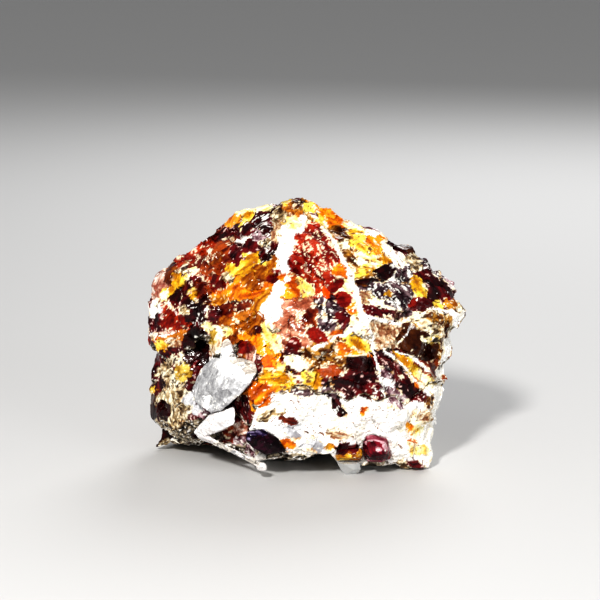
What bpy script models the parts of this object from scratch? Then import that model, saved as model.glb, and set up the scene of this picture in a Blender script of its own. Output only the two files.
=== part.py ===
"""A hand specimen of sphalerite: a broken lump of gemmy cleavage grains on a band of white dolomite.

Run it with: blender --background --python part.py
Each mineral that stands apart in the lump is one object. Shapes are worked out in millimetres
and turned to metres when their object is made. X runs to the right, Z up and Y away from the viewer.
"""

import math
import random

import bmesh
import bpy
from mathutils import Euler, Matrix, Vector
from mathutils.bvhtree import BVHTree

MM = 0.001

# The front is described as it is seen by an eye this far above the horizon and this far away:
# (across, up) are millimetres in the plane through EYE_TARGET that faces the eye.
EYE_RISE = math.radians(12)
EYE_DISTANCE = 350.0
EYE_TARGET = Vector((0, 0, 22))
TARGET_UP = 24.4

HEART = Vector((0, 1, 20))  # every corner of the lump can be seen from here
GAP = 0.3  # between two solids that touch in the real stone
GRAIN_OVERLAP = 0.16  # neighbouring grains bite this far into each other before they are joined
GRAIN_DEPTH = 7.5
GRAIN_REACH = 9.0
HIDDEN_GRAIN_SPACING = 5.6
CORE_SHARE = 0.86  # the inside that all grains are joined to, as a share of the lump
LIMIT_SHARE = 1.014  # no grain stands out past this
BAND_TOP = 8.5  # the dolomite band behind the front face
BAND_LEFT = -9.0
SEED = 11

# Corners along the edge that the eye sees the lump end at: (across, up, depth behind the middle).
EDGE_CORNERS = [
    (-2.2, 44.1, 3), (4.2, 42.8, 2), (9.2, 40.5, 1), (13.0, 38.8, 1), (19.6, 35.2, 1), (23.4, 31.5, 1),
    (25.9, 27.4, -1), (24.2, 20.6, -3), (22.9, 14.1, -5), (21.2, 7.0, -7), (20.2, 1.4, -9),
    (12.8, 1.5, -11), (5.6, 2.4, -12), (-0.8, 2.8, -13), (-6.9, 1.6, -14), (-11.2, 3.8, -10),
    (-14.9, 5.5, -5), (-19.2, 4.8, -1), (-23.5, 3.7, 3), (-25.0, 8.6, 2), (-25.1, 13.1, 2),
    (-24.5, 19.5, 1), (-25.2, 23.7, 1), (-25.1, 28.5, 2), (-23.6, 31.9, 3), (-20.0, 35.4, 4),
    (-15.9, 38.0, 4), (-12.6, 40.9, 4), (-8.4, 42.8, 4), (-4.2, 44.0, 4),
]

# Corners of the front face, written in the same way. A pale rib runs down from the summit to the
# middle, where it forks to the lower left and to the right.
FRONT_CORNERS = [
    (-2.7, 39.4, -4), (-3.5, 33.9, -8), (-5.3, 25.0, -13), (-6.9, 20.6, -13.5), (-8.0, 12.6, -15.5),
    (-0.8, 11.8, -15.5), (-6.9, 5.4, -15.5), (4.0, 23.0, -14), (10.0, 24.6, -13), (12.8, 11.4, -14),
    (20.0, 11.8, -9.5), (5.6, 33.4, -8), (12.0, 32.6, -6.5), (18.4, 29.4, -5.5), (21.6, 24.6, -6.5),
    (4.0, 39.8, -2), (8.8, 37.4, -3), (14.4, 35.0, -2.5), (19.2, 19.8, -9), (-10.4, 38.2, -1),
    (-9.6, 31.0, -8), (-15.2, 32.6, -3.5), (-19.2, 29.4, -2.5), (-12.8, 24.6, -9), (-19.2, 23.8, -5),
    (-21.6, 19.0, -3.5), (-16.3, 20.6, -6.5), (-13.6, 15.8, -9.5), (-20.0, 13.4, -4.5),
    (-16.8, 8.6, -7), (-11.2, 7.8, -11), (-21.6, 7.0, -2), (7.2, 5.4, -14), (15.2, 5.4, -12),
    (0.8, 3.8, -14.5),
]

# Corners of the back and of the flat foot: (x, y, z).
BACK_CORNERS = [
    (-2, 9, 38), (-12, 10, 34.5), (8, 9.5, 34.5), (-20, 9, 27), (18, 9.5, 27), (-22.5, 10, 15),
    (20, 9, 16), (-20, 11, 5), (18, 11, 6), (0, 15.5, 27), (-10, 15.5, 22), (9, 15.5, 21),
    (0, 18, 12), (-12, 15.5, 10), (12, 16, 9), (-8, 16, 4), (5, 17, 4),
]
FOOT_CORNERS = [
    (-21, 6, 0), (-13, 13, 0), (0, 15, 0), (12, 13, 0), (17.5, 6, 0), (17.5, -6, 0), (10, -6.5, 0),
    (2, -2.5, 0), (-8, -2, 0), (-13, 2, 0),
]

# Middles of the grains that show on the front: (across, up).
SPHALERITE_GRAINS = [
    (-7, 42), (-2.5, 42.5), (2, 42), (5, 42), (-8, 38.5), (-11.5, 40.5),
    (-4.5, 38.5), (-1.5, 37.5), (2.5, 38), (6.5, 38), (9, 38.5), (11.5, 38),
    (-14.5, 36), (-10.5, 34), (-6.5, 34), (-3, 33), (2.5, 34), (5, 30),
    (7.5, 34), (10.5, 35), (15, 34), (17, 35.5), (19, 33), (17.5, 31.5),
    (21.5, 30), (18, 29.5), (12, 30.5), (15, 28.5), (9, 31), (20, 28),
    (18, 26.5), (23.5, 27), (13, 26), (8, 28), (6.5, 27.5), (3.5, 29),
    (-2, 29.5), (-5.5, 26), (-1, 26), (4.5, 25.5), (9, 24.5), (13, 23),
    (17.5, 20.5), (21.5, 24), (22.5, 19.5), (20.5, 17), (15, 17.5), (18.5, 15),
    (13.5, 16), (16.5, 13), (12.5, 14), (8, 20.5), (8.5, 17.5), (5, 18),
    (7, 14), (3, 15), (2, 22), (-2, 20.5), (-5, 20.5), (-7, 19.5),
    (-5.5, 17.5), (-4, 15), (-7.5, 13), (-9.5, 12), (-1, 16.5), (-13, 34),
    (-17, 34), (-19, 31.5), (-14.5, 30), (-9.5, 32.5), (-10.5, 29), (-11, 26.5),
    (-7.5, 26.5), (-8, 23.5), (-22.5, 29.5), (-21, 28), (-24.5, 26.5), (-18.5, 28),
    (-22.5, 24.5), (-16, 25), (-24.5, 22), (-22.5, 20.5), (-13.5, 22), (-23, 17.5),
    (-19.5, 16), (-21, 12.5), (-24, 11.5), (-18, 11), (-23, 7.5), (-19.5, 7),
    (-16.5, 7), (-12, 6),
]
DOLOMITE_GRAINS = [
    (-5, 10), (-1, 11), (4, 10), (9, 9.5), (14, 9.5), (18.5, 10),
    (-4, 7), (1, 7.5), (5.5, 6.5), (9.5, 7.5), (15, 6), (19.5, 6),
    (-1, 4), (4, 3.5), (15.5, 2.5), (19, 3), (20.5, 11.5),
]

# Crystals that stand apart from the grains round them. Each is one or two convex blocks, given by
# their corners in the same way as the front: (across, up, depth).
QUARTZ_LUMP = [
    [
        (-17.9, 13.1, -4), (-14.9, 18.1, -6), (-9.0, 18.0, -9), (-8.0, 15.0, -11), (-14.0, 10.2, -8),
        (-17.8, 13.6, -8.8), (-16.6, 16.6, -9.2), (-14.7, 18.4, -10.4), (-10.2, 18.3, -13.0),
        (-8.2, 17.8, -13.6), (-7.8, 16.6, -14.6), (-9.2, 14.4, -16.0), (-11.2, 12.2, -15.6),
        (-13.4, 10.4, -13.6), (-15.0, 10.0, -11.8), (-17.4, 11.6, -9.2), (-13.4, 15.8, -14.0),
        (-12.0, 14.0, -15.2), (-15.4, 13.4, -12.2),
    ],
    [
        (-13.6, 17.4, -8), (-10.8, 17.4, -9.5), (-13.3, 17.2, -12.2), (-10.8, 17.6, -13.4),
        (-13.2, 21.0, -9.6), (-12.4, 21.7, -10.2), (-11.7, 20.4, -10.6), (-12.6, 19.6, -11.9),
    ],
]
WHITE_SHARD = [
    [
        (-11.4, 10.7, -11), (-14.7, 9.8, -9), (-17.3, 6.9, -4.5), (-13.4, 7.0, -8.5), (-11.6, 8.0, -10.5),
        (-11.4, 10.5, -14.6), (-14.6, 9.4, -12.4), (-16.2, 8.5, -10.6), (-17.6, 6.8, -8.4),
        (-16.6, 5.9, -8.6), (-13.4, 7.2, -12.6), (-11.4, 8.2, -14.4), (-13.6, 8.6, -13.8),
    ],
    [
        (-17.5, 6.6, -8.2), (-16.5, 6.5, -8.8), (-16.7, 5.7, -7.6), (-16.3, 6.0, -5.0),
        (-7.8, 2.3, -15.0), (-6.5, 1.2, -15.4), (-6.6, 0.9, -14.8), (-9.0, 2.0, -10.5),
    ],
]
DARK_CRYSTAL = [
    [
        (-9.2, 6.2, -12), (-6.5, 6.8, -12), (-3.6, 4.2, -12), (-6.0, 3.4, -12), (-9.3, 6.8, -16.2),
        (-6.6, 7.0, -15.8), (-4.4, 5.6, -15.6), (-3.2, 3.7, -15.4), (-6.4, 3.1, -16.2),
        (-8.4, 4.2, -16.4), (-9.5, 5.4, -16.4), (-7.6, 5.4, -17.2), (-5.4, 4.6, -16.8),
    ],
]
RUBY_CRYSTAL = [
    [
        (10.0, 5.6, -9.5), (12.8, 5.4, -9.5), (13.4, 2.8, -9.5), (9.8, 2.4, -9.5), (10.0, 6.0, -13.4),
        (11.0, 6.2, -13.4), (13.0, 5.5, -13.2), (13.4, 3.9, -13.4), (13.6, 2.5, -12.6),
        (12.3, 1.9, -13.2), (10.5, 1.9, -13.4), (9.4, 3.4, -13.6), (9.4, 4.9, -13.6),
        (10.2, 5.0, -14.8), (12.6, 4.9, -14.6), (12.8, 3.2, -14.6), (10.4, 2.8, -14.8),
    ],
]
AMBER_CRYSTAL = [
    [
        (5.0, 3.6, -9), (8.8, 3.8, -9), (8.6, 2.6, -9), (5.4, 2.6, -9), (5.0, 3.8, -13.0),
        (7.0, 4.4, -13.0), (9.0, 3.8, -13.2), (9.0, 2.4, -12.8), (5.2, 2.4, -12.8), (5.6, 3.4, -13.9),
        (8.4, 3.4, -13.9), (8.2, 2.6, -13.6), (5.8, 2.6, -13.6),
    ],
]
CLEAR_CRYSTAL = [
    [
        (5.4, 1.9, -9.5), (8.4, 1.9, -9.5), (8.3, 1.2, -9.5), (6.2, 0.9, -9.5), (5.1, 1.9, -12.2),
        (8.7, 1.9, -12.4), (8.9, 0.8, -12.2), (8.4, 0.1, -11.6), (6.4, -0.1, -11.6), (5.7, 0.8, -12.0),
        (6.2, 1.6, -13.0), (8.0, 1.6, -13.0), (7.8, 0.7, -12.8),
    ],
]

# A hollow left of the quartz: the outline of its mouth, (across, up), and how far in it narrows to nothing.
HOLLOW = [(-18.2, 21.8), (-17.2, 23.0), (-15.6, 22.8), (-15.0, 20.8), (-15.6, 18.2), (-17.0, 18.0), (-18.0, 19.6)]

# A dodecahedral cleavage opens along these six directions, and their opposites.
CLEAVAGE = [Vector(v).normalized() for v in ((1, 1, 0), (1, -1, 0), (1, 0, 1), (1, 0, -1), (0, 1, 1), (0, 1, -1))]


def seen(across, up, depth):
    """The place in the stone, at that depth, that the eye sees at (across, up)."""
    height = up - TARGET_UP
    rise, level = math.sin(EYE_RISE), math.cos(EYE_RISE)
    distance = EYE_DISTANCE
    above = (height * (distance + depth * level) - distance * depth * rise) / (distance * level + height * rise)
    nearer = distance + depth * level - above * rise
    return EYE_TARGET + Vector((across * nearer / distance, depth, above))


def sight_line(across, up):
    """A point in front of the stone and the direction in which the eye looks through (across, up)."""
    near, far = seen(across, up, -40), seen(across, up, 40)
    return near, (far - near).normalized()


def mesh_object(name, bm, material=None):
    """Makes an object of triangles from a bmesh, still in millimetres, and frees the bmesh."""
    mesh = bpy.data.meshes.new(name)
    bmesh.ops.recalc_face_normals(bm, faces=bm.faces)
    bmesh.ops.triangulate(bm, faces=bm.faces)
    bm.to_mesh(mesh)
    bm.free()
    if material:
        mesh.materials.append(material)
    obj = bpy.data.objects.new(name, mesh)
    bpy.context.scene.collection.objects.link(obj)
    return obj


def join_or_cut(obj, tool, operation):
    """Joins the tool's blocks to the object, or cuts them out of it, and removes the tool."""
    change = obj.modifiers.new(operation, "BOOLEAN")
    change.operation = operation
    change.solver = "EXACT"
    change.use_self = True
    change.object = tool
    graph = bpy.context.evaluated_depsgraph_get()
    mesh = bpy.data.meshes.new_from_object(obj.evaluated_get(graph))
    obj.modifiers.clear()
    obj.data = mesh
    bm = bmesh.new()
    bm.from_mesh(mesh)
    bmesh.ops.triangulate(bm, faces=bm.faces)
    bm.to_mesh(mesh)
    bm.free()
    bpy.data.objects.remove(tool)


def slice_off(bm, point, normal):
    """Removes what lies beyond the plane and closes the cut with one face."""
    everything = bm.verts[:] + bm.edges[:] + bm.faces[:]
    cut = bmesh.ops.bisect_plane(bm, geom=everything, dist=1e-5, plane_co=point, plane_no=normal, clear_outer=True)
    rim = [edge for edge in cut["geom_cut"] if isinstance(edge, bmesh.types.BMEdge)]
    if rim:
        bmesh.ops.edgeloop_fill(bm, edges=rim)


def hull_of(corners):
    """The convex solid round the corners."""
    hull = bmesh.new()
    for corner in corners:
        hull.verts.new(corner)
    made = bmesh.ops.convex_hull(hull, input=hull.verts)
    loose = {item for item in made["geom_interior"] + made["geom_unused"] if isinstance(item, bmesh.types.BMVert)}
    bmesh.ops.delete(hull, geom=list(loose), context="VERTS")
    bmesh.ops.recalc_face_normals(hull, faces=hull.faces)
    return hull


def crystal_blocks(blocks, spare=0):
    """A crystal's convex blocks in one bmesh, with every side moved out by spare."""
    joined = bmesh.new()
    for corners in blocks:
        hull = hull_of([seen(*corner) for corner in corners])
        if spare:
            sides = [(face.calc_center_median(), face.normal.copy()) for face in hull.faces]
            middle = sum((vert.co for vert in hull.verts), Vector()) / len(hull.verts)
            hull.free()
            hull = bmesh.new()
            bmesh.ops.create_cube(hull, size=60, matrix=Matrix.Translation(middle))
            for point, normal in sides:
                slice_off(hull, point + normal * spare, normal)
        add_bmesh(joined, hull)
    return joined


def hollow_block():
    """What is taken out for the hollow: wide in front of the face, narrow inside."""
    middle = Vector((sum(x for x, _ in HOLLOW), sum(y for _, y in HOLLOW))) / len(HOLLOW)
    corners = []
    for spot in HOLLOW:
        away = Vector(spot) - middle
        for share, depth in ((1.2, -12), (0.45, -2.5)):
            corners.append(seen(*(middle + away * share), depth))
    return hull_of(corners)


def add_bmesh(bm, other):
    """Adds another bmesh's faces and frees it."""
    bmesh.ops.recalc_face_normals(other, faces=other.faces)
    placed = {vert: bm.verts.new(vert.co) for vert in other.verts}
    for face in other.faces:
        bm.faces.new([placed[vert] for vert in face.verts])
    other.free()


def lump_form():
    """The lump's main form: each corner joined to those next to it as seen from its heart."""
    corners = [seen(*corner) for corner in EDGE_CORNERS + FRONT_CORNERS]
    corners += [Vector(corner) for corner in BACK_CORNERS + FOOT_CORNERS]
    form = bmesh.new()
    for corner in corners:
        form.verts.new((corner - HEART).normalized())
    bmesh.ops.convex_hull(form, input=form.verts)
    for vert, corner in zip(form.verts, corners):
        vert.co = corner
    bmesh.ops.recalc_face_normals(form, faces=form.faces)
    return form


def random_points(form, rng, count):
    """Places spread evenly over the form, each with its face's normal."""
    faces = [face.verts[:] for face in form.faces]
    normals = [face.normal.copy() for face in form.faces]
    areas = [face.calc_area() for face in form.faces]
    for index in rng.choices(range(len(faces)), areas, k=count):
        a, b, c = (vert.co for vert in faces[index][:3])
        one, two = sorted((rng.random(), rng.random()))
        yield a * one + b * (two - one) + c * (1 - two), normals[index]


def is_band(place):
    """Whether a hidden grain belongs to the dolomite band."""
    ragged_top = BAND_TOP + 1.4 * math.sin(place.x / 3.1) + 1.0 * math.sin(place.y / 2.3)
    return place.z < ragged_top and place.x > BAND_LEFT


def plant_grains(form, rng):
    """Every grain as (place, outward normal, whether it is dolomite): the front ones, then the hidden ones."""
    tree = BVHTree.FromBMesh(form)
    grains = []
    for spots, dolomite in ((SPHALERITE_GRAINS, False), (DOLOMITE_GRAINS, True)):
        for across, up in spots:
            place, normal, _, _ = tree.ray_cast(*sight_line(across, up))
            if place is not None:
                grains.append((place, normal, dolomite))
    for place, normal in random_points(form, rng, 4000):
        if all((place - other).length > HIDDEN_GRAIN_SPACING for other, _, _ in grains):
            grains.append((place, normal.copy(), is_band(place)))
    return grains


def facets_of(place, normal, dolomite, rng):
    """The planes that a grain's outside is broken along, as (point, normal) pairs."""
    if place.z < 0.5 and normal.z < -0.5:
        return [(place + Vector((0, 0, -1)), Vector((0, 0, -1)))]
    turn = Euler((rng.uniform(0, 6), rng.uniform(0, 6), rng.uniform(0, 6))).to_matrix()
    ways = [turn @ way for way in CLEAVAGE]
    ways = [way if way.dot(normal) > 0 else -way for way in ways]
    ways.sort(key=lambda way: -way.dot(normal))
    lean = 0.25 if dolomite else 0.42
    proud = rng.uniform(-0.7, 0.35)
    made = []
    for rank, way in enumerate(ways[:3]):
        outward = normal.lerp(way, lean + 0.2 * rank).normalized()
        stand = proud + rank * rng.uniform(0.35, 0.8)
        made.append((place + normal * proud + outward * (stand - proud), outward))
    return made


def grain_block(index, grains, facets, spare):
    """One grain: the space nearer to its middle than to any other's, cut along its facets.
    spare is how far every side stands out past that space."""
    place, normal, _ = grains[index]
    block = bmesh.new()
    bmesh.ops.create_cube(block, size=2 * GRAIN_REACH, matrix=Matrix.Translation(place))
    near = sorted((other - place).length for other, _, _ in grains)
    for other, _, _ in grains:
        away = other - place
        if 1e-6 < away.length < min(2 * GRAIN_REACH, near[min(18, len(near) - 1)]):
            way = away.normalized()
            slice_off(block, place + away / 2 + way * spare, way)
    for point, outward in facets[index]:
        slice_off(block, point + outward * max(spare - GRAIN_OVERLAP / 2, 0), outward)
    slice_off(block, place - normal * (GRAIN_DEPTH + spare), -normal)
    return block


def box_block(low, high):
    block = bmesh.new()
    size = Vector(high) - Vector(low)
    place = Matrix.Translation((Vector(high) + Vector(low)) / 2) @ Matrix.Diagonal((*size, 1))
    bmesh.ops.create_cube(block, size=1, matrix=place)
    return block


def scaled(form, share):
    copy = form.copy()
    bmesh.ops.transform(copy, matrix=Matrix.Translation(HEART) @ Matrix.Scale(share, 4) @ Matrix.Translation(-HEART), verts=copy.verts)
    return copy


def band_core(name, form, share, spare):
    """The inside that the dolomite grains are joined to, with its top and left side moved out by spare."""
    core = mesh_object(name, scaled(form, share))
    above = mesh_object("above", box_block((-60, -60, BAND_TOP + spare), (60, 60, 60)))
    join_or_cut(core, above, "DIFFERENCE")
    beside = mesh_object("beside", box_block((-60, -60, -60), (BAND_LEFT + 1 - spare, 60, 60)))
    join_or_cut(core, beside, "DIFFERENCE")
    return core


def keep_largest(obj):
    """Drops the crumbs that a cut leaves loose."""
    bm = bmesh.new()
    bm.from_mesh(obj.data)
    left, largest = set(bm.faces), []
    while left:
        patch, border = [], [left.pop()]
        while border:
            face = border.pop()
            patch.append(face)
            for edge in face.edges:
                for other in edge.link_faces:
                    if other in left:
                        left.remove(other)
                        border.append(other)
        if len(patch) > len(largest):
            largest = patch
    crumbs = set(bm.faces) - set(largest)
    bmesh.ops.delete(bm, geom=list(crumbs), context="FACES")
    bm.to_mesh(obj.data)
    bm.free()


def stone(name, color, roughness=0.35, transmission=0.0, ior=1.6):
    material = bpy.data.materials.new(name)
    material.use_nodes = True
    shader = material.node_tree.nodes["Principled BSDF"].inputs
    shader["Base Color"].default_value = (*color, 1)
    shader["Roughness"].default_value = roughness
    shader["Transmission Weight"].default_value = transmission
    shader["IOR"].default_value = ior
    return material


def main():
    for obj in list(bpy.data.objects):
        bpy.data.objects.remove(obj)
    rng = random.Random(SEED)
    form = lump_form()
    grains = plant_grains(form, rng)
    facets = [facets_of(place, normal, dolomite, rng) for place, normal, dolomite in grains]

    def blocks(dolomite, spare):
        joined = bmesh.new()
        for index, grain in enumerate(grains):
            if grain[2] == dolomite:
                add_bmesh(joined, grain_block(index, grains, facets, spare))
        return joined

    mass = mesh_object("sphalerite", scaled(form, CORE_SHARE), stone("sphalerite", (0.36, 0.08, 0.02), 0.2, 0, 2.4))
    join_or_cut(mass, mesh_object("grains", blocks(False, GRAIN_OVERLAP / 2)), "UNION")
    band = band_core("dolomite", form, CORE_SHARE, 0)
    band.data.materials.append(stone("dolomite", (0.82, 0.8, 0.74), 0.5))
    join_or_cut(band, mesh_object("grains", blocks(True, GRAIN_OVERLAP / 2)), "UNION")
    join_or_cut(mass, band_core("room", form, CORE_SHARE + 0.03, GAP), "DIFFERENCE")
    join_or_cut(mass, mesh_object("room", blocks(True, GRAIN_OVERLAP / 2 + GAP)), "DIFFERENCE")
    join_or_cut(mass, mesh_object("hollow", hollow_block()), "DIFFERENCE")
    for obj in (mass, band):
        join_or_cut(obj, mesh_object("limit", scaled(form, LIMIT_SHARE)), "INTERSECT")
    crystals = {
        "quartz_lump": (QUARTZ_LUMP, stone("quartz", (0.8, 0.8, 0.84), 0.15, 0.7, 1.54)),
        "white_shard": (WHITE_SHARD, stone("calcite", (0.85, 0.83, 0.8), 0.3)),
        "dark_crystal": (DARK_CRYSTAL, stone("black_blende", (0.02, 0.01, 0.02), 0.1, 0, 2.4)),
        "ruby_crystal": (RUBY_CRYSTAL, stone("ruby_blende", (0.3, 0.01, 0.03), 0.1, 0, 2.4)),
        "amber_crystal": (AMBER_CRYSTAL, stone("honey_blende", (0.55, 0.2, 0.03), 0.1, 0, 2.4)),
        "clear_crystal": (CLEAR_CRYSTAL, stone("rock_crystal", (0.85, 0.87, 0.9), 0.05, 0.9, 1.54)),
    }
    pieces = [mass, band]
    for name, (corners, material) in crystals.items():
        for obj in (mass, band):
            join_or_cut(obj, mesh_object("room", crystal_blocks(corners, GAP)), "DIFFERENCE")
        crystal = mesh_object(name, crystal_blocks(corners), material)
        join_or_cut(crystal, mesh_object("none", bmesh.new()), "UNION")
        pieces.append(crystal)
    for obj in pieces:
        ground = mesh_object("ground", box_block((-60, -60, -60), (60, 60, 0)))
        join_or_cut(obj, ground, "DIFFERENCE")
        keep_largest(obj)
    corners = [vert.co for obj in pieces for vert in obj.data.vertices]
    low = Vector(min(corner[axis] for corner in corners) for axis in range(3))
    high = Vector(max(corner[axis] for corner in corners) for axis in range(3))
    foot = Vector(((low.x + high.x) / 2, (low.y + high.y) / 2, low.z))
    print("bottom centre in mm", foot)
    for obj in pieces:
        obj.data.transform(Matrix.Scale(MM, 4) @ Matrix.Translation(-foot))
        print(obj.name, len(obj.data.polygons))
    form.free()


main()
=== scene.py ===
"""The sphalerite specimen as it looks: each solid in a fine mesh, broken into small facets.

Lengths are millimetres in the row frame until a mesh is made. The front is described as the eye
sees it: (across, up) are millimetres in the plane through AIM that faces the eye.
"""

import math
from collections import namedtuple

import bmesh
import bpy
import numpy as np
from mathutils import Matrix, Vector, noise
from mathutils.bvhtree import BVHTree
from mathutils.kdtree import KDTree


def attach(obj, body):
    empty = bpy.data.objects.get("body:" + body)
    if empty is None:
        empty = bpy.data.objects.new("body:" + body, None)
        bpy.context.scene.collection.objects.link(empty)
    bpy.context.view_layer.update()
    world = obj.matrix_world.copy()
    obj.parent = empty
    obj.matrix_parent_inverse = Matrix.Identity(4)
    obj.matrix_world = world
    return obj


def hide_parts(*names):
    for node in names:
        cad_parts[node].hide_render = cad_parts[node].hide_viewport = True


MM = 0.001
SEED = 7

EYE_RISE = math.radians(12)
EYE_DISTANCE = 350.0
AIM = Vector((-0.016, -0.406, 22))
AIM_UP = 24.4
PICTURE_WIDTH = 96.0  # what the picture spans at the distance of AIM
PICTURE_MIDDLE = (-0.8, 3.44)  # the picture's middle from AIM, to the right and up
SENSOR = 36.0

TO_EYE = Vector((0, -math.cos(EYE_RISE), math.sin(EYE_RISE)))
EYE_UPWARD = Vector((0, math.sin(EYE_RISE), math.cos(EYE_RISE)))

# Fleck colours: partly specks of the stone's own colour, partly painted glints.
WHITE = (0.95, 0.93, 0.88)
CREAM = (0.95, 0.84, 0.6)
PINKISH = (0.8, 0.55, 0.5)
RUST = (0.22, 0.08, 0.03)
SOOT = (0.05, 0.02, 0.015)
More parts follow.
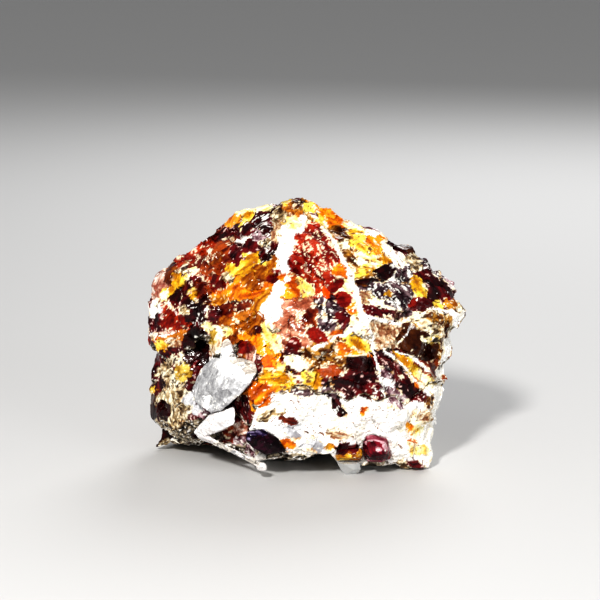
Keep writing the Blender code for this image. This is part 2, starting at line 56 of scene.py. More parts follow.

# A look has its colours from dark to bright, the size of its facets, how far they lean in degrees,
# how much its own grain stands out, its roughness, and the share and colour of its specks and
# painted glints.
Look = namedtuple("Look", "shades size lean grain roughness flecked fleck")
LOOKS = {
    "film": Look(
        ((0.1, 0.03, 0.012), (0.5, 0.27, 0.1), (0.95, 0.86, 0.66)),
        0.8, 20, 0.12, 0.4, 0.08, WHITE,
    ),
    "maroon": Look(
        ((0.01, 0.0008, 0.0015), (0.038, 0.002, 0.004), (0.16, 0.009, 0.011)),
        2.1, 15, 0.03, 0.14, 0.04, PINKISH,
    ),
    "freckled_maroon": Look(
        ((0.01, 0.0008, 0.0015), (0.035, 0.002, 0.004), (0.14, 0.01, 0.012)),
        1.7, 16, 0.05, 0.14, 0.09, WHITE,
    ),
    "black": Look(
        ((0.006, 0.0008, 0.001), (0.016, 0.0015, 0.002), (0.04, 0.003, 0.004)),
        2.4, 8, 0.02, 0.12, 0.0, WHITE,
    ),
    "smooth_red": Look(
        ((0.05, 0.001, 0.002), (0.13, 0.003, 0.003), (0.28, 0.014, 0.007)),
        2.4, 9, 0.02, 0.12, 0.01, PINKISH,
    ),
    "red": Look(
        ((0.08, 0.003, 0.003), (0.22, 0.01, 0.005), (0.48, 0.05, 0.01)),
        1.7, 15, 0.05, 0.18, 0.05, CREAM,
    ),
    "freckled_red": Look(
        ((0.1, 0.003, 0.003), (0.27, 0.011, 0.005), (0.5, 0.05, 0.015)),
        1.1, 20, 0.1, 0.22, 0.17, CREAM,
    ),
    "red_brown": Look(
        ((0.045, 0.003, 0.002), (0.14, 0.012, 0.004), (0.4, 0.075, 0.012)),
        2.1, 16, 0.04, 0.14, 0.03, CREAM,
    ),
    "brown": Look(
        ((0.02, 0.003, 0.001), (0.055, 0.012, 0.002), (0.1, 0.026, 0.004)),
        3.2, 8, 0.02, 0.14, 0.004, CREAM,
    ),
    "striped_brown": Look(
        ((0.025, 0.005, 0.001), (0.12, 0.03, 0.005), (0.55, 0.28, 0.05)),
        1.2, 18, 0.08, 0.22, 0.07, CREAM,
    ),
    "orange": Look(
        ((0.36, 0.05, 0.002), (0.68, 0.17, 0.004), (0.92, 0.42, 0.02)),
        2.0, 12, 0.04, 0.16, 0.02, CREAM,
    ),
    "bright_red": Look(
        ((0.5, 0.02, 0.003), (0.78, 0.07, 0.004), (0.9, 0.18, 0.01)),
        2.0, 8, 0.02, 0.12, 0.0, WHITE,
    ),
    "amber": Look(
        ((0.14, 0.022, 0.002), (0.36, 0.1, 0.004), (0.8, 0.38, 0.03)),
        2.1, 15, 0.05, 0.16, 0.02, CREAM,
    ),
    "toffee": Look(
        ((0.09, 0.012, 0.002), (0.24, 0.048, 0.003), (0.56, 0.19, 0.014)),
        2.1, 12, 0.04, 0.14, 0.02, CREAM,
    ),
    "yellow": Look(
        ((0.42, 0.15, 0.005), (0.8, 0.44, 0.018), (0.98, 0.8, 0.16)),
        1.8, 15, 0.05, 0.18, 0.07, RUST,
    ),
    "pale": Look(
        ((0.85, 0.56, 0.12), (0.96, 0.85, 0.4), (0.97, 0.95, 0.75)),
        1.3, 14, 0.06, 0.3, 0.05, RUST,
    ),
    "cream": Look(
        ((0.88, 0.78, 0.45), (0.95, 0.91, 0.72), (0.97, 0.96, 0.9)),
        1.6, 10, 0.06, 0.35, 0.06, RUST,
    ),
    "khaki": Look(
        ((0.07, 0.035, 0.015), (0.48, 0.34, 0.17), (0.95, 0.89, 0.7)),
        0.8, 24, 0.16, 0.4, 0.08, SOOT,
    ),
    "tan": Look(
        ((0.28, 0.11, 0.05), (0.66, 0.46, 0.26), (0.92, 0.84, 0.68)),
        0.9, 22, 0.14, 0.38, 0.08, RUST,
    ),
    "ochre": Look(
        ((0.22, 0.1, 0.008), (0.48, 0.27, 0.02), (0.8, 0.6, 0.14)),
        1.4, 14, 0.08, 0.25, 0.05, CREAM,
    ),
    "pink": Look(
        ((0.2, 0.04, 0.02), (0.42, 0.12, 0.06), (0.75, 0.42, 0.28)),
        2.0, 12, 0.04, 0.2, 0.03, WHITE,
    ),
    "pink_sugar": Look(
        ((0.3, 0.08, 0.05), (0.66, 0.36, 0.26), (0.92, 0.82, 0.74)),
        0.9, 22, 0.12, 0.4, 0.08, RUST,
    ),
    "mauve": Look(
        ((0.06, 0.015, 0.025), (0.22, 0.1, 0.12), (0.6, 0.46, 0.48)),
        0.9, 20, 0.1, 0.25, 0.14, WHITE,
    ),
    "peppered": Look(
        ((0.012, 0.003, 0.006), (0.05, 0.018, 0.026), (0.22, 0.14, 0.15)),
        0.95, 22, 0.1, 0.22, 0.17, WHITE,
    ),
    "grey": Look(
        ((0.3, 0.29, 0.31), (0.5, 0.5, 0.52), (0.75, 0.75, 0.77)),
        1.2, 16, 0.08, 0.3, 0.06, WHITE,
    ),
    "white": Look(
        ((0.93, 0.89, 0.78), (0.97, 0.96, 0.92), (0.98, 0.98, 0.97)),
        1.6, 10, 0.06, 0.4, 0.012, RUST,
    ),
    "dolomite": Look(
        ((0.82, 0.78, 0.7), (0.97, 0.95, 0.92), (0.98, 0.98, 0.97)),
        1.0, 16, 0.14, 0.4, 0.014, RUST,
    ),
    # A dark look for the undersides and along the foot.
    "dark_bottom": Look(
        ((0.012, 0.008, 0.006), (0.09, 0.06, 0.035), (0.5, 0.42, 0.3)),
        0.8, 24, 0.16, 0.45, 0.1, WHITE,
    ),
    "quartz": Look(
        ((0.4, 0.4, 0.41), (0.56, 0.56, 0.57), (0.82, 0.82, 0.82)),
        2.6, 12, 0.05, 0.1, 0.03, WHITE,
    ),
    "bright_quartz": Look(
        ((0.88, 0.88, 0.88), (0.97, 0.97, 0.97), (0.98, 0.98, 0.98)),
        1.8, 12, 0.06, 0.2, 0.0, WHITE,
    ),
    "grey_quartz": Look(
        ((0.3, 0.3, 0.31), (0.47, 0.47, 0.48), (0.7, 0.7, 0.71)),
        2.8, 12, 0.04, 0.08, 0.03, WHITE,
    ),
    "tan_quartz": Look(
        ((0.5, 0.45, 0.4), (0.76, 0.71, 0.64), (0.92, 0.88, 0.82)),
        0.9, 18, 0.1, 0.3, 0.04, WHITE,
    ),
    "shard": Look(
        ((0.86, 0.82, 0.81), (0.96, 0.94, 0.93), (0.98, 0.98, 0.97)),
        2.4, 9, 0.05, 0.25, 0.015, PINKISH,
    ),
    "night": Look(
        ((0.004, 0.0008, 0.002), (0.011, 0.0015, 0.005), (0.04, 0.006, 0.018)),
        1.8, 10, 0.02, 0.08, 0.0, WHITE,
    ),
    # Painted sheen: violet on the dark crystal's top.
    "painted_sheen": Look(
        ((0.006, 0.002, 0.012), (0.03, 0.014, 0.06), (0.32, 0.27, 0.42)),
        0.8, 18, 0.05, 0.12, 0.03, WHITE,
    ),
    "ruby": Look(
        ((0.02, 0.001, 0.003), (0.06, 0.0015, 0.007), (0.24, 0.008, 0.022)),
        1.9, 14, 0.02, 0.07, 0.0, WHITE,
    ),
    # Painted highlight: pale pink on the ruby crystal's edges.
    "painted_ruby_highlight": Look(
        ((0.12, 0.006, 0.018), (0.3, 0.05, 0.08), (0.75, 0.45, 0.5)),
        1.2, 12, 0.04, 0.12, 0.05, WHITE,
    ),
    "honey": Look(
        ((0.16, 0.03, 0.003), (0.38, 0.11, 0.006), (0.7, 0.36, 0.03)),
        1.4, 12, 0.04, 0.12, 0.03, CREAM,
    ),
}
NAMES = list(LOOKS)
GEMS = {"black", "smooth_red", "brown", "bright_red"}  # these keep a smooth outline

# Where each look lies on the front: (across, up, half length, half width, turn in degrees).
# A small one lies on a large one. What none covers is the pale film between the grains.
FRONT = {
    "pale": [
        (-6.8, 42.7, 2.3, 0.5, 20), (-10.2, 41.9, 1.2, 0.4, 15), (-2.1, 40.1, 1.1, 0.8, 0),
        (7.7, 40.1, 1.6, 0.6, -20), (-18.2, 32.0, 1.3, 0.2, 42), (-15.4, 35.4, 0.6, 0.15, 60),
        (-22.9, 27.9, 1.4, 0.4, 40), (-18.0, 29.3, 0.7, 0.15, 50), (10.0, 34.2, 2.4, 0.9, -20),
        (-0.3, 29.8, 1.5, 1.2, 0), (6.5, 30.0, 1.2, 0.8, 0), (11.3, 27.1, 1.7, 0.8, -20),
        (19.5, 15.0, 2.3, 0.6, -25), (20.2, 21.6, 1.3, 0.7, 0), (-14.0, 23.1, 1.8, 0.8, -15),
        (-5.6, 22.3, 2.4, 0.9, -70), (8.4, 24.2, 1.6, 0.8, -70), (17.8, 8.2, 0.8, 2.2, 0),
        (18.4, 3.8, 1.6, 0.7, 0), (-4.5, 17.0, 1.2, 0.7, 20),
    ],
    "yellow": [
        (-9.3, 40.9, 2.0, 0.4, 50), (-3.3, 43.8, 1.0, 0.7, 0), (-21.5, 29.3, 2.6, 0.6, 45),
        (-19.4, 31.0, 1.6, 0.3, 42), (-17.8, 28.2, 0.8, 0.3, 45), (-11.7, 32.6, 1.0, 0.8, 0),
        (-8.2, 33.5, 2.5, 1.7, 20), (0.6, 42.5, 0.8, 0.6, 0), (2.3, 40.8, 1.2, 0.6, -50),
        (8.6, 39.0, 1.3, 0.5, -10), (10.0, 35.6, 3.3, 1.9, -50), (18.1, 29.8, 2.1, 0.7, -55),
        (13.4, 28.8, 0.6, 0.5, 0), (16.7, 16.6, 3.1, 0.9, -48), (8.3, 20.9, 2.0, 0.9, -30),
        (-23.0, 20.6, 1.2, 0.5, -30), (-24.3, 13.3, 0.9, 0.3, 0), (-4.5, 15.3, 2.1, 1.1, 0),
        (-2.4, 14.1, 0.8, 0.7, 0), (21.6, 27.2, 0.7, 0.5, 0), (10.0, 32.2, 2.5, 0.6, 15),
        (1.1, 15.2, 1.3, 0.8, -35),
    ],
    "orange": [
        (-11.5, 40.8, 1.2, 0.8, 45), (4.2, 41.5, 2.2, 1.1, -35), (11.0, 37.6, 1.4, 0.8, -10),
        (10.7, 36.4, 2.0, 0.5, -55), (-10.3, 29.0, 4.0, 1.2, 12), (-2.1, 29.5, 1.5, 1.1, 0),
        (-3.7, 31.6, 0.7, 0.6, 0), (5.6, 32.1, 1.4, 0.8, -30), (6.8, 19.6, 1.9, 0.6, -15),
        (-9.6, 22.1, 0.8, 0.6, 0), (-7.0, 20.3, 1.5, 0.7, -70), (-7.5, 12.5, 2.2, 1.7, 30),
        (17.4, 15.2, 1.2, 0.5, -48), (4.6, 22.3, 1.2, 0.5, 40), (7.9, 26.2, 1.0, 0.5, 0),
        (16.7, 7.4, 0.7, 0.4, -70), (16.9, 5.2, 0.6, 0.4, 0), (9.4, 10.2, 0.7, 0.5, 0),
        (-5.0, 17.3, 0.9, 0.35, -60), (-3.1, 4.9, 1.3, 0.7, 0),
    ],
    "amber": [
        (-7.7, 31.2, 2.4, 1.3, 45), (-13.6, 27.9, 1.4, 0.8, 0), (-4.9, 33.5, 1.2, 0.5, 90),
        (-8.0, 26.5, 2.8, 0.8, 55), (23.3, 27.2, 1.0, 0.5, -30), (3.8, 4.5, 1.0, 0.4, 0),
    ],
    "toffee": [
        (-1.9, 42.2, 1.7, 0.9, 90), (-20.8, 31.6, 1.6, 0.3, 42), (-8.6, 24.1, 2.4, 1.2, 40),
        (-12.6, 24.3, 1.6, 0.6, 0), (-21.8, 21.8, 1.8, 0.6, 5), (-14.2, 34.4, 1.4, 0.5, 55),
        (-9.8, 25.2, 1.8, 0.8, 10), (-5.3, 32.8, 0.9, 0.4, 80),
    ],
    "maroon": [
        (-12.6, 38.8, 2.2, 0.9, 30), (-18.6, 29.6, 4.6, 2.4, 45), (-21.2, 32.8, 1.5, 0.7, 42),
        (-4.7, 43.2, 0.9, 0.5, 0), (-11.0, 35.0, 1.9, 0.9, 100), (-8.5, 36.1, 1.3, 0.9, 0),
        (-19.8, 29.3, 2.7, 0.9, 45), (20.9, 30.2, 3.6, 2.0, -45), (12.0, 26.1, 2.2, 0.4, -12),
        (6.4, 24.5, 1.7, 1.2, -50), (13.9, 17.6, 2.5, 0.9, -45), (16.7, 13.7, 2.7, 1.5, -35),
        (8.4, 14.6, 4.6, 1.7, -22), (-21.2, 19.7, 1.6, 0.5, 0), (-23.1, 18.5, 1.8, 1.2, 45),
        (-18.2, 14.4, 1.2, 0.8, 70), (-17.3, 16.7, 1.4, 0.7, 70), (-23.8, 14.8, 2.2, 1.2, 90),
        (-18.2, 7.6, 1.7, 1.3, 60), (-14.3, 25.1, 1.0, 1.2, 0), (-7.6, 22.9, 0.6, 0.5, 0),
        (-7.5, 17.2, 2.0, 0.5, 80), (-10.4, 13.5, 1.7, 0.7, 50), (-9.6, 10.7, 1.9, 1.2, 80),
        (-10.9, 9.4, 1.5, 0.6, 90), (17.4, 1.9, 1.4, 0.5, -10), (-23.8, 24.1, 1.4, 1.4, 0),
        (6.4, 4.4, 2.0, 0.6, 0),
    ],
    "freckled_maroon": [
        (-7.7, 40.0, 3.3, 2.0, 35), (-5.8, 35.4, 2.0, 1.0, 60), (-17.4, 26.2, 2.2, 1.2, 0),
        (14.5, 36.2, 1.6, 0.5, -35), (5.4, 10.6, 1.7, 0.7, -60), (1.2, 41.6, 0.9, 0.4, 0),
        (12.0, 12.8, 1.3, 0.7, -20),
    ],
    "black": [
        (12.4, 32.0, 1.9, 1.1, 25), (9.4, 30.8, 1.7, 0.3, 8), (8.8, 17.7, 2.2, 1.2, -10),
        (-22.5, 10.0, 1.7, 1.0, 90), (-24.6, 9.4, 2.6, 0.9, 90), (-22.6, 6.4, 1.8, 1.0, 0),
        (-23.8, 4.6, 1.4, 1.0, 90), (-17.3, 20.8, 2.6, 2.1, 90), (-17.3, 18.6, 2.0, 1.6, 0),
    ],
    "smooth_red": [
        (-4.9, 31.6, 1.3, 0.8, 35), (18.3, 27.1, 1.8, 1.1, -5), (6.1, 27.9, 1.3, 1.1, -30),
        (2.0, 22.1, 1.7, 1.0, -40), (-1.8, 20.5, 1.2, 1.0, 90), (-9.6, 20.3, 1.4, 1.0, 0),
        (5.1, 30.2, 1.2, 0.7, 40),
    ],
    "red": [
        (-16.7, 35.7, 2.6, 1.0, 35), (-18.6, 34.3, 2.4, 1.0, 30), (-21.3, 24.2, 1.4, 1.1, 0),
        (-24.3, 21.1, 0.9, 0.9, 0), (-21.5, 26.4, 1.6, 1.2, 0), (-14.3, 30.9, 1.7, 1.2, 0),
        (1.6, 31.6, 1.9, 1.2, -60),
    ],
    "freckled_red": [(1.8, 34.4, 4.2, 2.4, -60)],
    "bright_red": [(3.4, 29.0, 1.0, 0.6, 100), (-5.8, 18.0, 1.1, 0.9, 0)],
    "red_brown": [
        (-15.6, 35.4, 5.0, 2.6, 36), (-16.4, 29.9, 2.0, 1.1, 45), (-14.3, 37.3, 2.8, 1.5, 30),
        (-13.2, 35.2, 1.9, 1.5, 0), (-16.0, 33.2, 2.4, 1.1, 30), (-14.3, 32.6, 2.0, 1.0, 0),
        (-11.7, 26.4, 3.1, 1.6, 10), (0.4, 24.7, 1.5, 1.1, 0), (20.6, 17.0, 1.3, 1.2, 0),
        (-0.7, 15.0, 0.6, 0.5, 0), (-12.4, 6.6, 2.0, 1.1, 0), (-2.7, 8.7, 1.5, 0.7, -5),
        (-18.6, 36.6, 2.0, 0.6, 35), (4.4, 16.6, 1.8, 1.0, 0),
    ],
    "brown": [
        (18.2, 20.7, 3.7, 2.2, -25), (15.7, 36.9, 2.4, 0.8, -35), (16.1, 23.4, 0.7, 0.6, 0),
        (-24.6, 12.0, 0.9, 0.8, 0),
    ],
    "striped_brown": [
        (23.3, 24.2, 2.3, 1.0, 80), (22.3, 20.4, 1.9, 0.4, 78), (4.6, 17.9, 2.4, 2.0, -20),
        (20.4, 11.7, 1.3, 1.0, 0), (7.0, 35.7, 1.7, 0.8, -60), (0.9, 41.3, 0.7, 0.5, 0),
        (20.9, 25.0, 1.6, 0.8, -10), (10.2, 31.2, 1.8, 0.5, 10), (5.8, 38.7, 1.7, 0.9, -30),
        (-1.2, 43.2, 1.2, 0.6, 80),
    ],
    "cream": [(13.8, 35.2, 2.6, 0.9, -52), (-1.6, 17.8, 1.4, 0.7, -20)],
    "khaki": [
        (-4.2, 41.3, 1.3, 0.9, 0), (-4.4, 9.8, 1.5, 0.5, 10), (-19.2, 32.4, 1.4, 0.25, 42),
        (-20.9, 33.8, 0.8, 0.25, 42), (-12.3, 31.4, 0.8, 0.6, 0), (-19.3, 25.9, 0.8, 0.7, 0),
        (6.3, 36.6, 0.9, 0.6, 0), (17.4, 33.6, 1.4, 0.8, -60), (24.9, 27.0, 1.2, 0.5, -70),
        (20.7, 24.4, 2.3, 1.7, 0), (-20.8, 18.3, 1.0, 0.7, 0), (-22.6, 16.9, 1.5, 0.6, 35),
        (-20.7, 14.0, 2.2, 2.0, 90), (-21.4, 11.8, 2.0, 1.6, 0), (-20.4, 10.0, 1.7, 1.6, 0),
        (-21.0, 7.6, 1.6, 1.4, 0), (-22.5, 4.8, 0.8, 0.6, 0), (-0.4, 14.0, 2.2, 0.5, -10),
        (-6.4, 9.2, 1.3, 0.7, 30), (17.0, 1.4, 2.6, 0.7, -8), (-6.0, 37.0, 0.8, 0.6, 0),
    ],
    "tan": [
        (12.5, 22.5, 2.6, 2.0, 0), (-21.0, 21.0, 1.0, 0.5, 0), (19.1, 9.1, 1.4, 0.8, 0),
        (-14.3, 21.0, 1.9, 0.8, 80), (9.1, 28.3, 1.2, 0.6, 0), (-4.6, 38.8, 1.6, 0.6, 80),
        (5.3, 6.5, 1.9, 0.8, -10),
    ],
    "ochre": [(-19.2, 16.4, 1.3, 1.1, 60), (-14.7, 21.8, 1.2, 0.5, 80)],
    "pink": [(-1.6, 25.4, 1.6, 2.1, 0), (-0.8, 22.8, 1.4, 1.2, 0)],
    "pink_sugar": [
        (-23.1, 29.9, 1.9, 1.1, 35), (-22.6, 22.5, 1.8, 0.25, 10), (-8.4, 18.7, 1.4, 0.6, 80),
        (-10.4, 7.4, 0.9, 0.9, 0),
    ],
    "mauve": [
        (-22.4, 33.0, 1.6, 0.6, 45), (-7.7, 38.0, 0.9, 0.6, 0), (-1.2, 44.2, 0.6, 0.4, 0),
        (11.0, 39.6, 1.6, 0.5, -20), (23.2, 31.0, 2.0, 0.5, -50), (12.7, 16.1, 0.7, 0.6, 0),
        (14.3, 12.2, 1.8, 1.3, -45), (-16.0, 9.9, 0.9, 0.5, 20), (-9.3, 4.5, 2.2, 0.7, -35),
    ],
    "peppered": [
        (19.3, 33.8, 2.2, 0.8, -35), (14.3, 29.3, 2.7, 1.9, 0), (3.9, 25.3, 1.5, 2.3, 0),
        (3.8, 13.0, 1.8, 0.5, -25), (-0.6, 12.9, 2.4, 0.4, -4), (20.8, 32.4, 1.5, 0.5, -40),
        (15.6, 31.8, 1.2, 1.0, 0),
    ],
    "grey": [
        (-17.3, 10.5, 0.9, 0.6, 20), (-18.6, 11.8, 0.8, 1.0, 0), (1.3, 4.7, 1.9, 0.7, 0),
        (-2.0, 7.0, 1.6, 1.0, -30),
    ],
    "white": [
        (-1.9, 39.6, 1.8, 1.2, 60), (-3.2, 36.4, 2.2, 0.9, 70), (-9.7, 37.4, 1.0, 0.35, 10),
        (-23.5, 31.6, 1.3, 0.3, 45), (-24.0, 26.5, 1.5, 0.9, 60), (-3.5, 33.3, 1.9, 0.7, 95),
        (-4.1, 29.6, 2.0, 0.9, 68), (-5.5, 26.3, 2.0, 1.5, 55), (10.5, 38.7, 1.5, 0.5, -10),
        (13.2, 14.4, 0.9, 0.5, 0), (-20.5, 5.1, 0.8, 0.7, 0), (-13.9, 18.6, 1.1, 0.6, 50),
        (-10.9, 19.9, 0.4, 0.8, 0),
    ],
    # Dark strips along the foot.
    "dark_bottom": [
        (-3.0, 2.9, 3.2, 0.6, 0), (2.4, 2.4, 2.6, 0.6, 0), (-23.9, 7.2, 1.2, 1.6, 0),
        (11.6, 1.4, 2.2, 0.6, 0),
    ],
}

QUARTZ = {
    "bright_quartz": [
        (-12.4, 20.2, 0.9, 1.6, 0), (-12.2, 17.2, 2.0, 1.3, -30), (-10.0, 16.0, 1.7, 1.1, 10),
        (-15.6, 11.6, 0.5, 1.2, 0),
    ],
    "grey_quartz": [
        (-16.0, 14.0, 1.6, 1.9, 60), (-13.9, 12.0, 2.4, 1.0, 40), (-15.0, 15.5, 1.2, 0.8, 60),
    ],
    "tan_quartz": [
        (-12.7, 21.2, 0.6, 0.7, 0), (-8.6, 17.0, 1.0, 1.4, -20), (-10.8, 18.2, 1.3, 0.6, 0),
        (-16.6, 16.8, 1.0, 0.5, 45),
    ],
}
SHARD = {
    "tan_quartz": [(-13.2, 4.5, 1.8, 0.25, -24), (-8.6, 2.2, 1.6, 0.25, -24)],
    "grey_quartz": [(-10.8, 3.0, 1.0, 0.25, -24)],
}
# The dark crystal, with a painted violet sheen on its upper left.
NIGHT = {
    "painted_sheen": [(-8.6, 6.3, 1.0, 0.6, 0), (-6.8, 6.7, 1.0, 0.35, -10)],
}
# The ruby crystal, with painted highlights along its edges.
RUBY = {
    "painted_ruby_highlight": [
        (11.4, 5.6, 2.2, 0.5, -8), (12.9, 4.6, 0.5, 1.0, 0), (11.7, 3.9, 0.4, 0.25, 0),
        (11.2, 2.0, 1.6, 0.3, 0),
    ],
}
HONEY = {
    "maroon": [(6.2, 3.8, 2.2, 0.5, 0)],
    "yellow": [(6.4, 2.5, 1.4, 0.3, 0)],
}

# White veins on the front, each a run of (across, up) with its width.
VEINS = [
    (0.75, [
        (2.7, 39.4), (5.1, 36.1), (6.4, 33.6), (7.4, 31.6), (8.2, 29.0), (9.0, 26.0), (9.9, 24.3),
    ]),
    (0.45, [(9.9, 24.3), (10.6, 21.8)]),
    (0.36, [(10.6, 21.8), (11.2, 18.9), (12.0, 15.4), (12.9, 11.4)]),
    (0.6, [(9.9, 24.3), (8.0, 23.2), (5.6, 22.2), (3.6, 21.2), (1.8, 20.0)]),
    (0.55, [
        (8.4, 26.4), (9.6, 25.4), (12.0, 24.5), (15.0, 24.1), (17.6, 24.9), (19.6, 26.2),
        (22.0, 26.1), (24.6, 25.6),
    ]),
    (1.2, [
        (24.8, 25.6), (24.0, 22.4), (22.6, 18.4), (21.7, 14.2), (21.0, 9.2), (20.3, 4.0),
        (19.9, 1.0),
    ]),
    (0.3, [(14.9, 21.0), (16.2, 22.4), (17.2, 24.2)]),
    (0.34, [(14.4, 19.6), (17.0, 18.8), (19.0, 17.2), (21.3, 15.0)]),
    (0.34, [(12.9, 19.4), (15.4, 17.6), (17.6, 14.9), (19.4, 13.2), (22.0, 13.0)]),
    (0.3, [(-24.8, 22.3), (-23.0, 22.0), (-21.0, 22.6)]),
    (0.35, [(-21.8, 27.4), (-20.6, 25.4)]),
    (0.3, [(3.2, 28.4), (3.0, 26.6), (3.4, 24.4)]),
]

# Where the stone is eased from its solid: (across, up, half across, half up, millimetres outwards).
EASED = [
    (23.0, 14.0, 3.0, 12.0, -0.8), (7.5, 42.0, 6.0, 4.0, -1.3), (14.5, 38.5, 4.0, 3.0, -0.6),
    (-21.8, 33.0, 4.0, 3.0, 1.3), (-25.2, 25.5, 2.0, 4.0, -0.6), (-24.5, 16.5, 2.0, 3.0, -0.6),
    (-23.5, 5.5, 3.0, 3.0, -0.6), (-13.0, 39.5, 3.0, 2.5, -0.6), (20.0, 33.8, 2.2, 1.8, 0.4),
    (22.9, 32.6, 1.8, 2.0, -0.9), (25.0, 22.8, 2.2, 2.6, -0.9), (21.0, 7.0, 2.0, 4.0, -0.6),
    (23.2, 15.6, 1.2, 1.4, -0.7),
]
SPUR = [(-11.5, 3.6, 6.0, 3.4, -0.2), (-6.9, 0.9, 1.0, 1.2, 0.45)]  # the shard's thin end
ZONES = {"sphalerite": EASED, "dolomite": EASED, "white_shard": SPUR}

# The foot's front edge, which is a little off the ground in places: (across, up).
FOOT_LINE = [
    (-25.2, 7.0), (-24.4, 5.2), (-23.8, 4.2), (-23.0, 4.7), (-21.6, 5.3), (-20.0, 5.0),
    (-15.2, 5.0), (-13.6, 4.5), (-10.4, 3.0), (-8.8, 2.1), (-4.0, 2.9), (-2.4, 1.9), (0.8, 3.0),
    (2.4, 3.5), (4.0, 3.5), (5.6, 1.6), (12.0, 1.6), (14.4, 1.9), (16.0, 0.6),
]

# What the sides, the top and the back are made of, and each look's share.
ELSEWHERE = {
    "maroon": 20, "red_brown": 18, "freckled_maroon": 12, "red": 8, "amber": 10, "orange": 6,
    "yellow": 6, "brown": 12, "khaki": 12, "pink": 4, "film": 8, "peppered": 6,
    "striped_brown": 6, "smooth_red": 4,
}
ELSEWHERE_SPOTS = 420
ELSEWHERE_COARSER = 1.25
ELSEWHERE_FIRST = 1000  # patches off the front are numbered from here
FRONT_FROM = -0.05  # the front is where the surface turns to the eye by more than this cosine
UNDERSIDE = -0.4  # the dark bottom look lies where a normal points down by more than this

# Patches and veins. Their borders wobble by these lengths in waves and in sharp-edged jags.
LEFT_TURN, RIGHT_TURN = 42, -50  # the way the cleavage runs across the two front faces, in degrees
PARTING = -3.0  # where those two meet
SPREAD, BRIGHT_SPREAD = 3.5, 1.25  # patches cover bare blende out to this share of their lengths
BRIGHT = 0.25  # the green of a bright look's middle colour
BORDER = 0.12  # each patch is this much larger than its table says
GEM_ON_TOP = 0.5  # a gem counts as this share of its size, so that it lies on its neighbours
DRAWN_OUT = 1.5  # a patch longer than its width by this much has its cleavage along it
WAVES = (1.2, 4.5)  # radians a millimetre
PATCH_WAVES, PATCH_JAGS = 0.3, 0.6
VEIN_WAVES, VEIN_JAGS = 0.25, 0.35
CALM_WAVES = 0.2
VEIN_SWELL = 0.8  # how much the veins swell and thin
VEIN_PATCH = 999
THIN_VEIN = 0.4
UNCOVERED, FAR = 50, 1e9  # scores of a place beyond a patch, and of one that no patch has reached

# Facets.
FACET_SIZES = (0.75, 1.3)
LEANS = (0.4, 1.4)
STANDS_OUT = 0.16
STRETCH = 1.7  # facets are this much longer along the cleavage than across it
CANDIDATES = 26000  # places tried for the middles of facets
NEAR_FACETS = 9
OTHER_PATCH = 4  # how much further a facet of another patch counts as
GROWTH = 0.16  # each piece is this much fuller than its solid, which closes the seams
MOST_SUNK, MOST_RAISED = -0.5, 0.4
EDGE_SUNK, EDGE_RAISED = -0.25, -0.05  # the same limits along the outline that the eye sees
GRAIN_HEIGHT, GRAIN_WAVES = 1.6, 1.9
SEAM = 0.6  # a place this near to another piece is in a seam
SEAM_RAISED = (0.18, 0.26)
STANDS_BELOW = 0.15  # undersides lower than this are left flat, so that the piece stands

# Colours.
INNERMOST = 6  # steps from a patch's border at which nothing of it shows
FILM_ON_BORDER, FILM_BESIDE = 0.17, 0.46  # noise has to pass this for film on a border or beside it
FILM_BEHIND, FILM_LEFT = 0.2, 0.24  # added to that off the front, and left of PARTING
FILM_BRIGHTER = 0.75
PALE_ROUGHNESS = 0.4  # of flecks, painted glints among them, and film


def each_look(field):
    """One value of every look, in the order of NAMES."""
    return np.array([getattr(LOOKS[name], field) for name in NAMES])


def as_seen(points):
    """(across, up) of row-frame places."""
    q = points - np.array(AIM)
    rise, level = math.sin(EYE_RISE), math.cos(EYE_RISE)
    away = EYE_DISTANCE + q[:, 1] * level - q[:, 2] * rise
    grow = EYE_DISTANCE / away
    return np.stack([q[:, 0] * grow, (q[:, 2] * level + q[:, 1] * rise) * grow + AIM_UP], 1)


def eased(points, zones):
    """How far the surface moves outwards at each place."""
    spots = as_seen(points)
    outwards = np.zeros(len(points))
    for across, up, half_across, half_up, step in zones:
        away = ((spots[:, 0] - across) / half_across) ** 2 + ((spots[:, 1] - up) / half_up) ** 2
        outwards += step * np.maximum(0, 1 - away)
    return outwards


def lifted(points):
    """How far each place is lifted to bring the foot's front edge up to its line."""
    spots = as_seen(points)
    lowest = np.interp(spots[:, 0], *np.transpose(FOOT_LINE), right=0.0)
    return np.maximum((lowest - spots[:, 1]) / math.cos(EYE_RISE), 0)


def ripple(points, seed):
    """A wobble made of slow and fast waves, so that no border is a plain ellipse."""
    rng = np.random.default_rng(seed)
    total = np.zeros(len(points))
    for _ in range(6):
        way = rng.normal(size=points.shape[1])
        way *= rng.uniform(*WAVES) / np.linalg.norm(way)
        total += np.sin(points @ way + rng.uniform(0, 6))
    return total / 6


def noise_at(points, scale, seed):
    """Smooth noise at each place, most of it between -0.5 and 0.5."""
    shift = Vector((seed * 17.3, seed * 5.1, seed * 9.7))
    return np.array([noise.noise(Vector(place) * scale + shift) for place in points.tolist()])


def shards_at(points, scale, seed):
    """A chance level from -0.5 to 0.5, the same all over each small sharp-edged cell."""
    shift = Vector((seed * 3.1, seed * 7.7, seed * 1.3))
    middles = [noise.voronoi(Vector(place) * scale + shift)[1][0] for place in points.tolist()]
    sums = np.array([middle.x * 12.99 + middle.y * 78.23 + middle.z * 37.72 for middle in middles])
    return sums * 43.76 % 1 - 0.5


def spread_of(name, default):
    """How far a look's patches cover bare ground, as a share of their lengths."""
    if default != "film" or name in GEMS:
        return 1
    return BRIGHT_SPREAD if LOOKS[name].shades[1][1] > BRIGHT else SPREAD


def oval_distance(spots, across, up, long, wide, turn):
    """How far each (across, up) is from an oval's middle: 1 on its edge."""
    cos, sin = math.cos(math.radians(turn)), math.sin(math.radians(turn))
    dx, dy = spots[:, 0] - across, spots[:, 1] - up
    return np.hypot((dx * cos + dy * sin) / long, (dy * cos - dx * sin) / wide)


